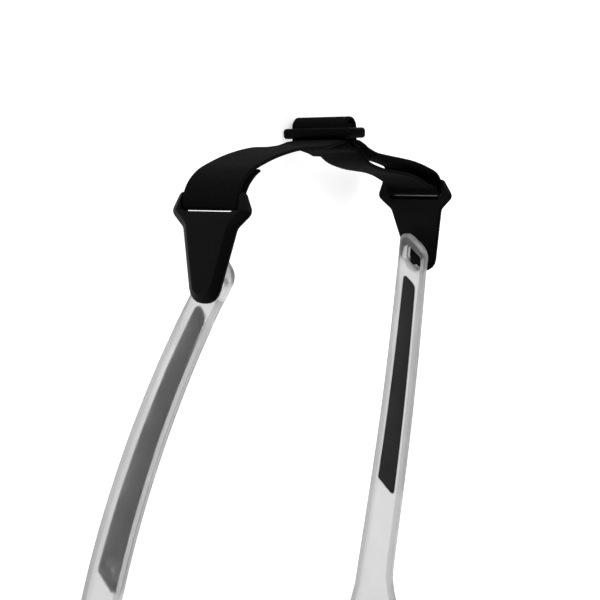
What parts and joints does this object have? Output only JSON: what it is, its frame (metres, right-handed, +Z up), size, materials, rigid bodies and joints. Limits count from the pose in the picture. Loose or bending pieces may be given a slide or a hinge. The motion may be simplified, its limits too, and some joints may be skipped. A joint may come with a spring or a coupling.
{
  "type": "sunglasses with retainer strap",
  "caption": "Shield sunglasses with frosted clear folding arms and a removable elastic strap held by studs at the arm tips.",
  "frame": {"origin": "middle of the footprint, on the surface that the glasses stand on: the two lens lobes and the lower end of the strap slide", "axes": "+X towards the wearer's left, +Y from the lens back to the strap, +Z up"},
  "size_m": [0.1382, 0.2238, 0.0468],
  "materials": {
    "frosted_plastic": "frosted translucent nylon, satin",
    "lens": "smoke tinted polycarbonate, polished",
    "black_plastic": "satin moulded nylon",
    "soft_rubber": "matte soft rubber",
    "elastic": "fine woven elastic webbing",
    "screw_steel": "plain turned"
  },
  "bodies": {
    "front": {"front_frame": "frosted_plastic", "shield_lens": "lens", "nose_clip": "black_plastic", "nose_pad_right": "soft_rubber", "nose_pad_left": "soft_rubber", "right_hinge_screw": "screw_steel", "left_hinge_screw": "screw_steel"},
    "right_arm": {"right_temple": "frosted_plastic", "right_temple_pad": "soft_rubber"},
    "left_arm": {"left_temple": "frosted_plastic", "left_temple_pad": "soft_rubber"},
    "strap": {"right_connector": "black_plastic", "left_connector": "black_plastic", "tape_right": "elastic", "tape_middle": "elastic", "tape_left": "elastic"},
    "slide": {"strap_slide": "black_plastic"}
  },
  "joints": [
    {"name": "right_temple_fold", "type": "hinge", "parent": "front", "child": "right_arm", "pos_m": [-0.0659, -0.06453, 0.02964], "axis": [0, 0.1371, -0.9906], "range_deg": [0, 84]},
    {"name": "left_temple_fold", "type": "hinge", "parent": "front", "child": "left_arm", "pos_m": [0.0659, -0.06453, 0.02964], "axis": [0, -0.1371, 0.9906], "range_deg": [0, 74]},
    {"name": "strap_swing", "type": "hinge", "parent": "front", "child": "strap", "pos_m": [0, 0.06829, 0.02376], "axis": [1, 0, 0], "range_deg": [-20, 30]},
    {"name": "slide_travel", "type": "slide", "parent": "strap", "child": "slide", "axis": [1, 0, 0], "range_m": [-0.005, 0.005], "deforming": ["tape_middle"]}
  ]
}
